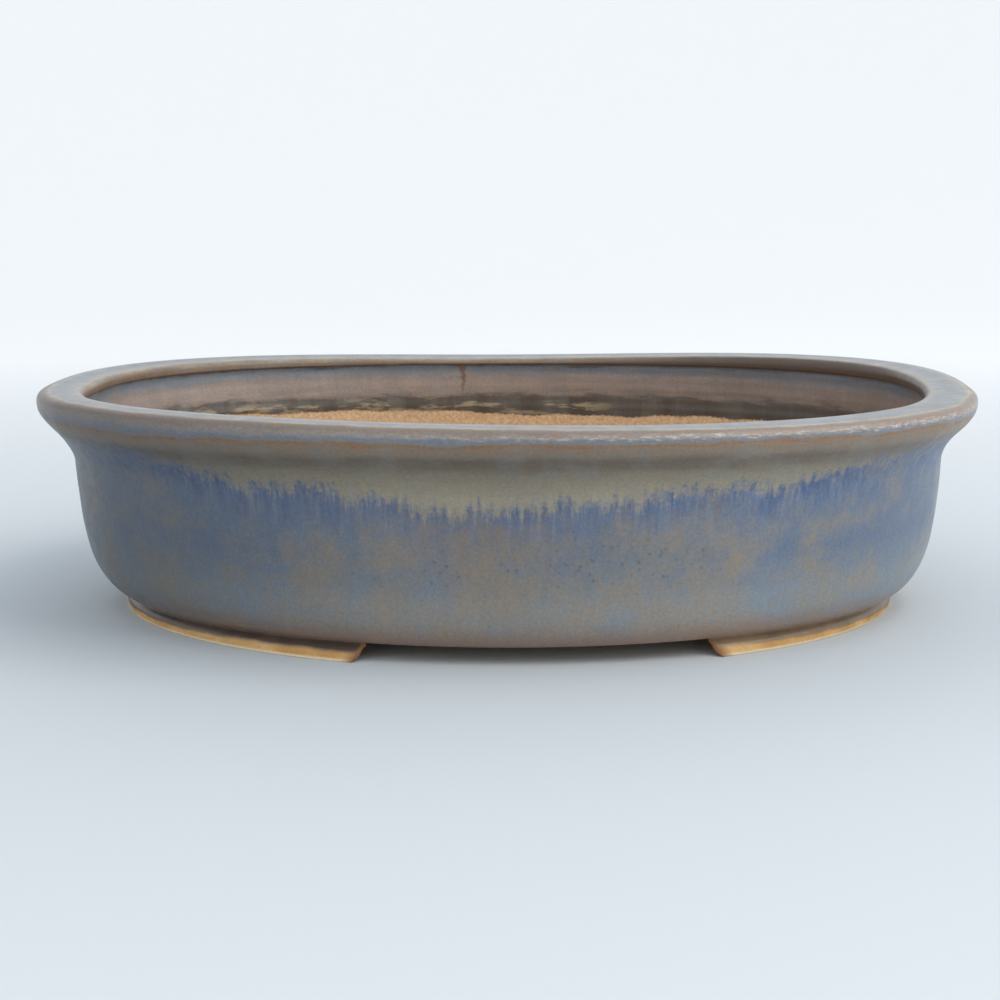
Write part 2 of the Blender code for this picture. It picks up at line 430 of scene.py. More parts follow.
# %% [markdown]
# ## The floor
# The floor is a slab of clay, cut with two drain holes and four small holes for the wire that
# holds a tree. Its top and bottom are square grids pressed into the oval, which leaves no
# pole in the middle. The holes are cut with an exact Boolean, by cutters that widen like a
# trumpet at the top, because wet clay is wiped round at a hole's edge.

# %% Grid and cutters for the floor
FLOOR_CELLS = 130
HOLE_SIDES = 40
DRAIN_RADIUS, DRAIN_REACH = 11.0, 75.0
DRAIN_FLARE, WIRE_FLARE = 1.2, 0.8
WIRE_RADIUS, WIRE_ALONG, WIRE_ACROSS = 2.5, 42.0, 38.0


def pressed_grid(count, inset, height):
    """A square grid on the oval: square point (u, v) goes to the disc's (u sqrt(1 - v^2 / 2),
    v sqrt(1 - u^2 / 2)), and that point's length scales the oval in its direction."""
    u, v = np.meshgrid(np.linspace(-1, 1, count), np.linspace(-1, 1, count))
    across = np.stack([u * np.sqrt(1 - v * v / 2), v * np.sqrt(1 - u * u / 2)])
    half_length, half_width = half_sizes(inset, np.float64(height))
    angle = np.arctan2(across[1] * half_width, across[0] * half_length)
    points = oval(angle, inset, height)
    points[..., :2] *= np.hypot(*across)[..., None]
    return points


def floor_unevenness(x, y):
    """Height of the hand-smoothed slab, within a quarter of a millimetre: long crossed waves."""
    return 0.12 * MM * (np.sin(x * 61 + 1.0) * np.cos(y * 83) + np.sin(x * 127 - y * 149) * 0.6)


def trumpet(name, x, y, radius, flare):
    """A closed cutter for a hole: its radius is even through the slab, then follows a quarter
    circle outwards up to the slab's top."""
    rise = np.linspace(0, math.pi / 2, 7)
    flared = radius + flare * (1 - np.cos(rise))
    tops = FLOOR_MM - flare + flare * np.sin(rise)
    radii = np.concatenate([[radius, radius], flared, [radius + flare]])[:, None]
    heights = np.concatenate([[UNDER_MM - 3, UNDER_MM + 2], tops, [FLOOR_MM + 3]])[:, None]
    around = 2 * math.pi * np.arange(HOLE_SIDES) / HOLE_SIDES
    rings = np.stack(np.broadcast_arrays(
        x + radii * np.cos(around), y + radii * np.sin(around), heights), axis=-1) * MM
    mesh = bpy.data.meshes.new(name)
    faces = grid_faces(len(radii), HOLE_SIDES, False, True).tolist()
    last = (len(radii) - 1) * HOLE_SIDES
    faces += [list(range(HOLE_SIDES))[::-1], list(range(last, last + HOLE_SIDES))]
    mesh.from_pydata(rings.reshape(-1, 3).tolist(), [], faces)
    cutter = bpy.data.objects.new(name, mesh)
    cutter.hide_render = True
    bpy.context.scene.collection.objects.link(cutter)
    return cutter


print("drain holes", 2 * DRAIN_RADIUS, "mm and wire holes", 2 * WIRE_RADIUS, "mm wide")

# %% [markdown]
# ## Cut the slab
# Two pressed grids and a strip round them close the slab. The modifiers are applied at once
# and the cutters removed, so that only the finished clay is left.

# %% Make the floor
floor_rim = (SEAT - 0.5) * MM
upper = pressed_grid(FLOOR_CELLS, floor_rim, FLOOR_TOP)
upper[..., 2] += floor_unevenness(upper[..., 0], upper[..., 1])
lower = pressed_grid(FLOOR_CELLS, floor_rim, UNDERSIDE)
cells = grid_faces(FLOOR_CELLS, FLOOR_CELLS, False, False)
index = np.arange(FLOOR_CELLS ** 2).reshape(FLOOR_CELLS, FLOOR_CELLS)
edge = np.concatenate([index[0, :-1], index[:-1, -1], index[-1, :0:-1], index[:0:-1, 0]])
following = np.roll(edge, -1)
skirt = np.stack([following, edge, edge + FLOOR_CELLS ** 2, following + FLOOR_CELLS ** 2], axis=-1)
floor_faces = np.concatenate([cells, cells[:, ::-1] + FLOOR_CELLS ** 2, skirt])
floor = add_skin("floor_slab", np.stack([upper, lower]), floor_faces)

cutters = [trumpet("drain", x * DRAIN_REACH, 0, DRAIN_RADIUS, DRAIN_FLARE) for x in (-1, 1)]
cutters += [trumpet("wire_hole", x * WIRE_ALONG, y * WIRE_ACROSS, WIRE_RADIUS, WIRE_FLARE)
            for x in (-1, 1) for y in (-1, 1)]
for cutter in cutters:
    cut = floor.modifiers.new(cutter.name, "BOOLEAN")
    cut.operation = "DIFFERENCE"
    cut.solver = "EXACT"
    cut.object = cutter
evaluated = floor.evaluated_get(bpy.context.evaluated_depsgraph_get())
finished = bpy.data.meshes.new_from_object(evaluated)
floor.modifiers.clear()
floor.data = finished
for cutter in cutters:
    bpy.data.objects.remove(cutter)
finished.shade_smooth()
finished.set_sharp_from_angle(angle=math.radians(35))
print("floor:", len(finished.polygons), "faces with", len(cutters), "holes")

# %% [markdown]
# ## The feet
# Each foot is a strip of clay pressed under one end of the oval and cut off square to its
# length. The glaze was wiped away near the ground, so the coat ends in a thick edge on the
# outer face. The strip's section is carried along the oval, and near both ends it shrinks by
# a quarter circle, which rounds the cut edges.

# %% Section and ends of the feet
FOOT_INSET = 30.0
FOOT_WIDTH = 14.0
FOOT_INNER = FOOT_INSET + FOOT_WIDTH
GAP_CENTRE, GAP_AT_GROUND, GAP_AT_TOP = 14.5, 132.0, 123.0

foot_section = np.concatenate([
    curve((31.0, 0), (30.4, 0), (FOOT_INSET, 0.4), (FOOT_INSET, 1.2), 6),
    line((FOOT_INSET, 1.2), (30.1, 3.2), 8),
    curve((30.1, 3.2), (30.2, 4.6), (31.2, 5.2), (31.2, 5.8), 12),
    curve((31.2, 5.8), (31.2, 6.2), (30.8, 6.4), (30.4, UNDER_MM), 4),
    line((30.4, UNDER_MM), (FOOT_INNER, UNDER_MM), 6),
    line((FOOT_INNER, UNDER_MM), (FOOT_INNER, 1.0), 6),
    curve((44.0, 1.0), (44.0, 0.3), (43.6, 0), (43.0, 0), 4),
    line((43.0, 0), (31.0, 0), 8),
])


def foot_end(side, inset, height):
    """The direction in which a foot's line ends: the gap's edge gives the same x for every
    inset, and y follows on the oval from |y / half width|^p = 1 - |x / half length|^p."""
    gap = GAP_AT_GROUND + (GAP_AT_TOP - GAP_AT_GROUND) * height / UNDERSIDE
    x = (GAP_CENTRE + side * gap / 2) * MM
    half_length, half_width = half_sizes(inset, height)
    power = fullness(height)
    return np.arctan2(half_width * (1 - np.abs(x / half_length) ** power) ** (1 / power), x)


print("foot section:", len(foot_section), "points; gap", GAP_AT_GROUND, "mm at the ground")

# %% [markdown]
# ## Carry the feet along the oval
# The stations along a foot are closer together near its ends, where the rounding is. A hub
# point in the middle of each cut end closes it with a fan of triangles.

# %% Make the feet
END_ROUNDING = 1.1 * MM
STATIONS = 460
OUTER_FACE = 31.3 * MM
FACE_TOP = 6.4 * MM
ANGLE_TO_RUN = FOOT_END_X * 0.72


def foot_faces(count):
    """A grid of stations, and two fans. A fan's face repeats a corner, so it is a triangle."""
    ring = np.arange(count)
    following = np.roll(ring, -1)
    last = (STATIONS - 1) * count
    hub = np.full(count, STATIONS * count)
    fans = [np.stack([hub, ring, following, following], axis=-1),
            np.stack([hub + 1, following + last, ring + last, ring + last], axis=-1)]
    return np.concatenate([grid_faces(STATIONS, count, False, True)[:, ::-1], *fans])


def make_foot(name, side):
    """Carry the foot's section along one end of the oval. Side is 1 at +X and -1 at -X. Near
    the cuts every point moves to the section's middle by r - sqrt(r^2 - d^2), where r is the
    rounding and d the distance into it."""
    inset, height = foot_section[:, 0][None, :], foot_section[:, 1][None, :]
    end = foot_end(side, inset, height)
    reach = end if side > 0 else math.pi - end
    spacing = np.linspace(-1, 1, STATIONS)
    share = (np.sign(spacing) * (1 - (1 - np.abs(spacing)) ** 1.15))[:, None]
    angle = reach * share if side > 0 else math.pi - reach * share
    wiped = foot_line(angle)
    coat = STEP_OF_COAT * MM * ease(height - wiped, -0.25 * MM, 0.45 * MM) * (inset < OUTER_FACE)

    from_end = (1 - np.abs(share)) * reach * ANGLE_TO_RUN
    inwards = np.clip(END_ROUNDING - from_end, 0, END_ROUNDING)
    shrink = END_ROUNDING - np.sqrt(END_ROUNDING ** 2 - inwards ** 2)
    across = (FOOT_INSET + FOOT_WIDTH / 2) * MM - inset
    upwards = UNDERSIDE / 2 - height
    new_inset = inset - coat + np.sign(across) * shrink * (np.abs(across) > 5 * MM)
    new_height = height + np.sign(upwards) * shrink * (np.abs(upwards) > 2 * MM)
    points = oval(angle, new_inset, new_height)
    every = np.concatenate([points.reshape(-1, 3), points[[0, -1]].mean(axis=1)])
    foot = add_skin(name, every, foot_faces(len(foot_section)), 40)

    shape = points.shape[:2]
    line_height = np.append(np.broadcast_to(wiped, shape).ravel(), [wiped.mean()] * 2)
    is_outer = np.broadcast_to((inset < OUTER_FACE) & (height < FACE_TOP), shape)
    add_value(foot, "above_wiped", every[:, 2] / MM - line_height / MM)
    add_value(foot, "outer_face", np.append(is_outer.ravel(), [0, 0]))
    add_value(foot, "from_cut", np.append(from_end.ravel(), [0, 0]) / MM)
    return foot


left_foot = make_foot("left_foot", -1)
right_foot = make_foot("right_foot", 1)

# %% [markdown]
# ## Riding on the frame
# The pot has no moving parts, so every piece rides on the one body. Each piece stands for the
# CAD node whose shape it refines, and that node is hidden.

# %% Ride and replace
PIECES = ((rim, "rim", "rim_glaze"), (wall, "wall", "wall_glaze"), (floor, "floor", "floor_clay"),
          (left_foot, "foot_left", "foot_clay"), (right_foot, "foot_right", "foot_clay"))
for item, node_name, slot_name in PIECES:
    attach(item, "root")
    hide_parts(node_name)
print("pieces:", [item.name for item, _, _ in PIECES])

# %% [markdown]
# ## Colours, nodes and real sizes
# Colours are written as hex values, as a colour picker shows them, and turned to the linear
# numbers that light is computed in. One function adds a node with its settings and links.
# Every pattern is sized in millimetres: the coordinates are in metres, so noise with cells of
# a given size needs a scale of one over that size.

# %% Colour and node helpers
def linear(hex_colour):
    """Hex to linear: c / 12.92 up to 0.04045, and ((c + 0.055) / 1.055)^2.4 above it."""
    channels = np.array([int(hex_colour[k:k + 2], 16) / 255 for k in (1, 3, 5)])
    values = np.where(channels <= 0.04045, channels / 12.92, ((channels + 0.055) / 1.055) ** 2.4)
    return (*values.tolist(), 1.0)


# Noise stays mostly between 0.3 and 0.7, so a map that takes this range uses all of its own.
NOISE = {"From Min": 0.3, "From Max": 0.7}


def cells(size):
    """The scale of a pattern whose cells are this many millimetres wide: 1 / size in metres."""
    return 1 / (size * MM)


def node(tree, kind, inputs, output=0, stops=(), **settings):
    """Add one node and give back one of its outputs. Inputs are values or other nodes'
    outputs, by name or number; stops are a ramp's (position, hex colour) pairs."""
    made = tree.nodes.new("ShaderNode" + kind)
    for name, value in settings.items():
        setattr(made, name, value)
    for name, value in inputs.items():
        if isinstance(value, bpy.types.NodeSocket):
            tree.links.new(value, made.inputs[name])
        else:
            made.inputs[name].default_value = value
    for number, (position, colour) in enumerate(stops):
        elements = made.color_ramp.elements
        element = elements[number] if number < 2 else elements.new(position)
        element.position = position
        element.color = linear(colour)
    return made.outputs[output]


def new_finish(name):
    """A material with an empty Principled shader, and its node tree."""
    material = bpy.data.materials.new(name)
    material.use_nodes = True
    return material, material.node_tree, material.node_tree.nodes["Principled BSDF"]


print("cobalt blue, linear:", [round(value, 3) for value in linear("#43577f")])

# %% [markdown]
# ## Running glaze: its patterns
# The glaze looks like one with iron and cobalt, poured on and fired until it ran. What the eye
# sees depends on how thick it lies. Three kinds of noise make it uneven: noise squashed along
# Z gives streaks that hang down the wall on every side, noise stretched along the ground
# gives smears that lie along the rim, and round noise gives clouds, flecks and grain.

# %% Read the surface and make the patterns
glaze, tree, shader = new_finish("running_iron_cobalt_glaze_poured")
spot = node(tree, "TexCoord", {}, "Object")
side = node(tree, "SeparateXYZ", {"Vector": spot}, "X")
behind = node(tree, "SeparateXYZ", {"Vector": spot}, "Y")
height = node(tree, "SeparateXYZ", {"Vector": spot}, "Z")
down = node(tree, "Attribute", {}, "Fac", attribute_name="down")
above_run = node(tree, "Attribute", {}, "Fac", attribute_name="above_run")
above_clay = node(tree, "Attribute", {}, "Fac", attribute_name="above_clay")

hanging = node(tree, "Mapping", {"Vector": spot, "Scale": (1, 1, 0.12)})
lying = node(tree, "Mapping", {"Vector": spot, "Scale": (0.35, 0.35, 1.6)})
streak = node(tree, "TexNoise", {"Vector": hanging, "Scale": cells(2.1),
                                 "Detail": 4, "Roughness": 0.65})
broad = node(tree, "TexNoise", {"Vector": hanging, "Scale": cells(10.5),
                                "Detail": 3, "Roughness": 0.55})
patch = node(tree, "TexNoise", {"Vector": lying, "Scale": cells(6.7), "Detail": 4, "Roughness": 0.62})
smear = node(tree, "TexNoise", {"Vector": lying, "Scale": cells(1.1), "Detail": 4, "Roughness": 0.7})
cloud = node(tree, "TexNoise", {"Vector": spot, "Scale": cells(22), "Detail": 8, "Roughness": 0.72})
blotch = node(tree, "TexNoise", {"Vector": spot, "Scale": cells(5.3), "Detail": 5, "Roughness": 0.7})
fleck = node(tree, "TexNoise", {"Vector": spot, "Scale": cells(1.6), "Detail": 3, "Roughness": 0.7})
grain = node(tree, "TexNoise", {"Vector": spot, "Scale": cells(1.0), "Detail": 2, "Roughness": 0.6})
print(glaze.name, "reads", len(tree.nodes), "nodes of patterns")

# %% [markdown]
# ## Running glaze: bands over the rim
# Glaze draws away from an edge and gathers below it. The bands are laid out by "down", the
# way that the glaze travelled: blue grey on the flat top, cream and brown at every edge, blue
# and ochre lines on the roll, a darker band just under the roll that is partly painted shade,
# and olive cream below it. The cream line on the crisp outer edge is partly painted highlight.
# Inside there are a dark line under the lip, which is painted shadow of the lip's overhang,
# blue, pink brown, and a dark band above the clay. The bands waver by a millimetre, more so
# deep inside, and here and there a plain patch breaks them.

# %% Bands of the glaze
DOWN_LOW, DOWN_HIGH = -60.0, 110.0
PLAIN_SHARE = 0.38


def place(millimetres):
    """Where a number of millimetres down lies on the ramp, from 0 to 1."""
    return (millimetres - DOWN_LOW) / (DOWN_HIGH - DOWN_LOW)


# Painted light in these stops: the dark line at -21.9 mm is painted shadow under the lip, the stops at
# 16.2 and 19.5 mm are partly painted shade under the roll, and the cream line at -0.8 mm is partly
# painted highlight on the crisp edge.
GLAZE_AND_PAINTED_LIGHT_STOPS = [(place(millimetres), colour) for millimetres, colour in (
    (-46.0, "#4c4743"), (-36.8, "#575049"), (-35.2, "#8b7b72"), (-32.0, "#a08f87"), (-28.0, "#a0928c"),
    (-26.0, "#85888f"), (-23.0, "#6c7a8c"), (-21.9, "#3a4050"), (-20.9, "#6e5a4b"), (-17.0, "#8a7766"),
    (-14.8, "#b3a797"), (-13.4, "#9fa0a3"), (-8.0, "#8f959d"), (-2.0, "#999b9e"), (-0.8, "#b4a99b"),
    (0.6, "#8d7c6f"), (2.9, "#85766e"), (4.6, "#94867e"), (5.8, "#87868a"), (6.8, "#68788c"),
    (7.8, "#827d7a"), (8.7, "#886444"), (9.7, "#8a7461"), (12.5, "#837668"), (16.2, "#695e53"),
    (19.5, "#706558"), (23.0, "#81796b"), (27.0, "#8d8472"), (33.0, "#999180"))]
waver = node(tree, "MapRange", {"Value": patch, **NOISE, "To Min": -1.1, "To Max": 1.1})
wilder = node(tree, "MapRange", {"Value": down, "From Min": -30, "From Max": -24,
                                 "To Min": 2.2, "To Max": 1})
waver = node(tree, "Math", {0: waver, 1: wilder}, operation="MULTIPLY")
wavered = node(tree, "Math", {0: down, 1: waver}, operation="ADD")
on_ramp = node(tree, "MapRange", {"Value": wavered, "From Min": DOWN_LOW, "From Max": DOWN_HIGH})
banded = node(tree, "ValToRGB", {"Fac": on_ramp}, stops=GLAZE_AND_PAINTED_LIGHT_STOPS)
broken = node(tree, "MapRange", {"Value": broad, "From Min": 0.42, "From Max": 0.62,
                                 "To Max": PLAIN_SHARE})
plain = node(tree, "ValToRGB", {"Fac": blotch}, stops=[(0.35, "#7b7c80"), (0.65, "#8b8174")])
banded = node(tree, "MixRGB", {"Fac": broken, "Color1": banded, "Color2": plain})
print("bands:", len(GLAZE_AND_PAINTED_LIGHT_STOPS), "colours over", DOWN_HIGH - DOWN_LOW, "mm")

# %% [markdown]
# ## Running glaze: the wall below the cream
# Where the cream ran out, cobalt shows as a dark blue belt with a ragged upper edge, and it
# fades down into a mottle of grey blue and tan. The glaze lies thicker and bluer towards both
# ends of the pot. It is paler near the heel, partly as painted reflection of the pale floor, and
# brown on the heel itself, where it drew thin.

# %% Mottle, cobalt and the ragged edge
left_end = node(tree, "MapRange", {"Value": side, "From Min": -30 * MM, "From Max": -150 * MM,
                                   "To Max": 0.11})
right_end = node(tree, "MapRange", {"Value": side, "From Min": 70 * MM, "From Max": 150 * MM,
                                    "To Max": 0.14})
blueness = node(tree, "Math", {0: cloud, 1: left_end}, operation="ADD")
blueness = node(tree, "Math", {0: blueness, 1: right_end}, operation="ADD")
mottle = node(tree, "ValToRGB", {"Fac": blueness},
              stops=[(0.38, "#867b71"), (0.5, "#7a797b"), (0.66, "#637085")])
# Partly painted reflection: the lower wall is paler, as if lit by the pale floor below it.
pale = node(tree, "ValToRGB", {"Fac": blueness},
            stops=[(0.38, "#8d847a"), (0.52, "#868482"), (0.68, "#7b8591")])
sinking = node(tree, "MapRange", {"Value": height, "From Min": 40 * MM, "From Max": 22 * MM})
lower = node(tree, "MixRGB", {"Fac": sinking, "Color1": mottle, "Color2": pale})
heel = node(tree, "MapRange", {"Value": height, "From Min": 16 * MM, "From Max": 7 * MM,
                               "To Max": 0.85})
lower = node(tree, "MixRGB", {"Fac": heel, "Color1": lower, "Color2": linear("#8a6f60")})

ragged = node(tree, "MapRange", {"Value": streak, **NOISE, "To Min": -3.2, "To Max": 3.2})
lobes = node(tree, "MapRange", {"Value": broad, **NOISE, "To Min": -2.4, "To Max": 2.4})
crumbly = node(tree, "MapRange", {"Value": fleck, **NOISE, "To Min": -2.4, "To Max": 2.4})
edge = node(tree, "Math", {0: above_run, 1: ragged}, operation="ADD")
edge = node(tree, "Math", {0: edge, 1: lobes}, operation="ADD")
edge = node(tree, "Math", {0: edge, 1: crumbly}, operation="ADD")
cobalt = node(tree, "ValToRGB", {"Fac": streak}, stops=[(0.35, "#43577f"), (0.65, "#68768c")])
in_cobalt = node(tree, "MapRange", {"Value": edge, "From Min": -16, "From Max": -4})
patchy = node(tree, "MapRange", {"Value": cloud, "From Min": 0.36, "From Max": 0.58, "To Min": 0.35})
in_cobalt = node(tree, "Math", {0: in_cobalt, 1: patchy}, operation="MULTIPLY")
lower = node(tree, "MixRGB", {"Fac": in_cobalt, "Color1": lower, "Color2": cobalt})
in_cream = node(tree, "MapRange", {"Value": edge, "From Min": -3.6, "From Max": 4.2},
                interpolation_type="SMOOTHSTEP")
on_roll = node(tree, "MapRange", {"Value": down, "From Min": 20, "From Max": 14})
in_cream = node(tree, "Math", {0: in_cream, 1: on_roll}, operation="MAXIMUM")
colour = node(tree, "MixRGB", {"Fac": in_cream, "Color1": lower, "Color2": banded})
print("cream coat ends between", round(float(run_line(ANGLES).min() / MM)), "and",
      round(float(run_line(ANGLES).max() / MM)), "mm up")

# %% [markdown]
# ## Running glaze: spots and painted glints
# Bubbles burst low on the front and left dark blue spots about a millimetre wide. On the
# roll, mostly to the right, pale specks in a row above the blue are painted highlights, glints
# of the window at the right.

# %% Burst bubbles and painted glints
beads = node(tree, "TexVoronoi", {"Vector": spot, "Scale": cells(3.0)}, "Distance")
bead = node(tree, "MapRange", {"Value": beads, "From Min": 0.34, "From Max": 0.18, "To Max": 0.7})
off_middle = node(tree, "Math", {0: side, 1: -22 * MM}, operation="ADD")
off_middle = node(tree, "Math", {0: off_middle}, operation="ABSOLUTE")
for chance in (
        node(tree, "MapRange", {"Value": cloud, "From Min": 0.40, "From Max": 0.50}),
        node(tree, "MapRange", {"Value": fleck, "From Min": 0.44, "From Max": 0.54}),
        node(tree, "MapRange", {"Value": height, "From Min": 52 * MM, "From Max": 42 * MM}),
        node(tree, "MapRange", {"Value": height, "From Min": 22 * MM, "From Max": 32 * MM,
                                "To Max": 0.75}),
        node(tree, "MapRange", {"Value": off_middle, "From Min": 85 * MM, "From Max": 35 * MM,
                                "To Min": 0.12})):
    bead = node(tree, "Math", {0: bead, 1: chance}, operation="MULTIPLY")
colour = node(tree, "MixRGB", {"Fac": bead, "Color1": colour, "Color2": linear("#4b506a")})

# Painted highlights: pale glints on the roll, weighted towards the right, where the window light falls.
painted_glint_speck = node(tree, "MapRange", {"Value": smear, "From Min": 0.50, "From Max": 0.64})
for chance in (
        node(tree, "MapRange", {"Value": wavered, "From Min": 2.4, "From Max": 4.4}),
        node(tree, "MapRange", {"Value": wavered, "From Min": 7.8, "From Max": 5.8}),
        node(tree, "MapRange", {"Value": side, "From Min": -60 * MM, "From Max": 50 * MM,
                                "To Min": 0.12, "To Max": 0.85})):
    painted_glint_speck = node(tree, "Math", {0: painted_glint_speck, 1: chance}, operation="MULTIPLY")
colour = node(tree, "MixRGB", {"Fac": painted_glint_speck, "Color1": colour, "Color2": linear("#c6beb6")})
print("spots about", round(2 * 0.18 * 3.0, 1), "mm wide")

# %% [markdown]
# ## Running glaze: tone
# Grain a millimetre wide and faint streaks cover everything. The flecks differ a little in
# warmth as well as in tone, which keeps the greys alive. Outside, the glaze is painted darker
# at the left end and paler at the right: painted shade and light, as the window at the right
# lights the pot.

# %% Grain, streaks and the painted shade at the left end
warmth = node(tree, "ValToRGB", {"Fac": fleck}, stops=[(0.36, "#ecf7ff"), (0.64, "#fff6e8")])
# Painted shade and light: the outside is darkened towards the left end and lightened towards the right,
# as the window at the right falls on it.
painted_shade_left_end = node(tree, "MapRange", {"Value": side, "From Min": -160 * MM, "From Max": -40 * MM,
                                    "To Min": 0.55})
painted_light_right_end = node(tree, "MapRange", {"Value": side, "From Min": 0 * MM, "From Max": 90 * MM,
                                     "To Min": 1.0, "To Max": 1.30})
painted_side_light = node(tree, "Math", {0: painted_shade_left_end, 1: painted_light_right_end}, operation="MULTIPLY")
is_outer = node(tree, "MapRange", {"Value": down, "From Min": -2, "From Max": 3})
tone = node(tree, "MixRGB", {"Fac": is_outer, "Color1": (1, 1, 1, 1), "Color2": painted_side_light})
streaky = node(tree, "MapRange", {"Value": streak, **NOISE, "To Min": 0.95, "To Max": 1.04})
grainy = node(tree, "MapRange", {"Value": grain, **NOISE, "To Min": 0.9, "To Max": 1.1})
tone = node(tree, "VectorMath", {0: tone, "Scale": streaky}, operation="SCALE")
tone = node(tree, "VectorMath", {0: tone, "Scale": grainy}, operation="SCALE")
colour = node(tree, "VectorMath", {0: colour, 1: warmth}, operation="MULTIPLY")
colour = node(tree, "VectorMath", {0: colour, 1: tone}, operation="MULTIPLY")
print("glaze nodes so far:", len(tree.nodes))

# %% [markdown]
# ## Running glaze: the inside
# Inside, the glaze is darker brown towards the right, most of all on the lip: partly thin glaze
# and partly painted shade, since the right inner wall faces away from the window. A little
# cream was smeared low down, and gives olive patches. One brown run of iron hangs from the
# lip at the back.

# %% The darker right half with painted shade, the olive smears and the brown run
inner = node(tree, "MapRange", {"Value": down, "From Min": -14.5, "From Max": -16})
lip = node(tree, "MapRange", {"Value": down, "From Min": -23, "From Max": -21.5,
                              "To Min": 0.36, "To Max": 0.8})
# Partly thin glaze and partly painted shade: the inside turns dark brown towards the right, which faces
# away from the window.
thin_glaze_and_painted_shade = node(tree, "MapRange", {"Value": side, "From Min": -20 * MM, "From Max": 100 * MM})
thin_glaze_and_painted_shade = node(tree, "Math", {0: thin_glaze_and_painted_shade, 1: inner}, operation="MULTIPLY")
thin_glaze_and_painted_shade = node(tree, "Math", {0: thin_glaze_and_painted_shade, 1: lip}, operation="MULTIPLY")
colour = node(tree, "MixRGB", {"Fac": thin_glaze_and_painted_shade, "Color1": colour, "Color2": linear("#463c38")})

olive = node(tree, "MapRange", {"Value": patch, "From Min": 0.52, "From Max": 0.60, "To Max": 0.75})
for limit in (
        node(tree, "MapRange", {"Value": down, "From Min": -46, "From Max": -43}),
        node(tree, "MapRange", {"Value": down, "From Min": -37, "From Max": -39}),
        node(tree, "MapRange", {"Value": side, "From Min": 50 * MM, "From Max": 30 * MM})):
    olive = node(tree, "Math", {0: olive, 1: limit}, operation="MULTIPLY")
colour = node(tree, "MixRGB", {"Fac": olive, "Color1": colour, "Color2": linear("#a69a7e")})

bend_of_run = node(tree, "MapRange", {"Value": blotch, **NOISE,
                                      "To Min": 22.9 * MM, "To Max": 25.7 * MM})
off_run = node(tree, "Math", {0: side, 1: bend_of_run}, operation="ADD")
off_run = node(tree, "Math", {0: off_run}, operation="ABSOLUTE")
half_run = node(tree, "MapRange", {"Value": height, "From Min": 69 * MM, "From Max": 83 * MM,
                                   "To Min": 0.1 * MM, "To Max": 1.4 * MM})
in_run = node(tree, "Math", {0: half_run, 1: off_run}, operation="SUBTRACT")
in_run = node(tree, "MapRange", {"Value": in_run, "From Min": -0.6 * MM, "From Max": 0.5 * MM,
                                 "To Max": 0.75})
for limit in (
        node(tree, "Math", {0: behind, 1: 50 * MM}, operation="GREATER_THAN"),
        node(tree, "MapRange", {"Value": down, "From Min": -20.5, "From Max": -22}),
        node(tree, "MapRange", {"Value": height, "From Min": 68 * MM, "From Max": 71 * MM})):
    in_run = node(tree, "Math", {0: in_run, 1: limit}, operation="MULTIPLY")
colour = node(tree, "MixRGB", {"Fac": in_run, "Color1": colour, "Color2": linear("#6b4d3c")})
print("glaze nodes so far:", len(tree.nodes))

# %% [markdown]
# ## Running glaze: where it stops, its gloss and its skin
# Below the glaze line inside, and under the pot, the bare clay shows. Fired glaze is glass, so
# its IOR is about 1.5, and this one is satin: its roughness wanders between 0.30 and 0.46.
# Clay is matt. A fine bump gives the glaze its skin, its pinholes and the raised painted glint
# specks, and gives the clay its sandy grain; everything larger is in the mesh.

# %% Bare clay, roughness and bump
CLAY_STOPS = [(0.3, "#b39270"), (0.5, "#cfae8a"), (0.7, "#e2c8a4")]
sand = node(tree, "TexNoise", {"Vector": spot, "Scale": cells(1.4), "Detail": 4, "Roughness": 0.75})
bare = node(tree, "ValToRGB", {"Fac": sand}, stops=CLAY_STOPS)
frayed = node(tree, "MapRange", {"Value": fleck, **NOISE, "To Min": -0.5, "To Max": 0.5})
clay_edge = node(tree, "Math", {0: above_clay, 1: frayed}, operation="ADD")
in_clay = node(tree, "MapRange", {"Value": clay_edge, "From Min": 0.4, "From Max": -0.4})
inwards = node(tree, "Math", {0: down, 1: -20}, operation="LESS_THAN")
in_clay = node(tree, "Math", {0: in_clay, 1: inwards}, operation="MULTIPLY")
underneath = node(tree, "MapRange", {"Value": down, "From Min": UNDER_DOWN, "From Max": UNDER_DOWN + 1})
in_clay = node(tree, "Math", {0: in_clay, 1: underneath}, operation="MAXIMUM")
colour = node(tree, "MixRGB", {"Fac": in_clay, "Color1": colour, "Color2": bare})
tree.links.new(colour, shader.inputs["Base Color"])

satin = node(tree, "MapRange", {"Value": blotch, **NOISE, "To Min": 0.30, "To Max": 0.46})
matt = node(tree, "MapRange", {"Value": in_clay, "To Max": 0.45})
roughness = node(tree, "Math", {0: satin, 1: matt}, operation="ADD")
tree.links.new(roughness, shader.inputs["Roughness"])
shader.inputs["IOR"].default_value = 1.50

pinholes = node(tree, "MapRange", {"Value": beads, "From Min": 0.10, "From Max": 0.22,
                                   "To Min": -0.6, "To Max": 0.0})
sandy = node(tree, "Math", {0: sand, 1: in_clay}, operation="MULTIPLY")
relief = node(tree, "Math", {0: grain, 1: pinholes}, operation="ADD")
relief = node(tree, "Math", {0: relief, 1: painted_glint_speck}, operation="ADD")
relief = node(tree, "Math", {0: relief, 1: sandy}, operation="ADD")
skin = node(tree, "Bump", {"Height": relief, "Strength": 0.5, "Distance": 0.14 * MM})
tree.links.new(skin, shader.inputs["Normal"])
for item in (rim, wall):
    item.data.materials.append(glaze)
print(glaze.name, "has", len(tree.nodes), "nodes")

